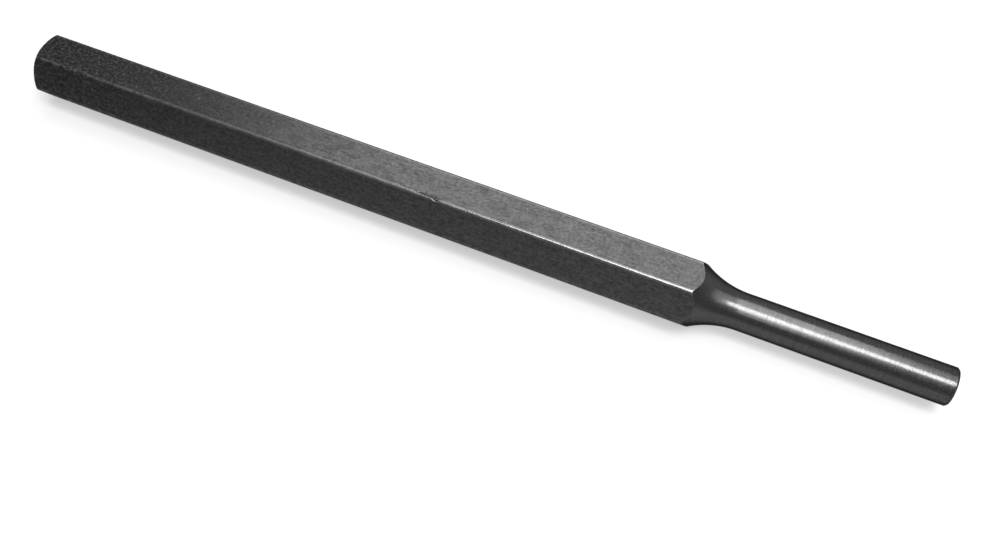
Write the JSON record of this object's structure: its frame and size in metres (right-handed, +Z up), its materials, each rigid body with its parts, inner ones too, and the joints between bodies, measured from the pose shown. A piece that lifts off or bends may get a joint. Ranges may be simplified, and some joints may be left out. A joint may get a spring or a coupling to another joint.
{
  "type": "pin punch",
  "caption": "Hexagonal steel hand punch with a rounded struck end, a turned shoulder and a long parallel pin for driving pins out of their holes.",
  "frame": {"origin": "at the bottom of the bar, under the middle of the punch's length and width", "axes": "+X along the punch from the struck face to the tip, +Y across the bar from corner to corner, +Z up, square to the flat it lies on"},
  "size_m": [0.1238, 0.009, 0.0079],
  "materials": {
    "black_steel": "black oxide over finely drawn and turned tool steel, satin"
  },
  "bodies": {
    "root": {"punch": "black_steel"}
  },
  "joints": []
}
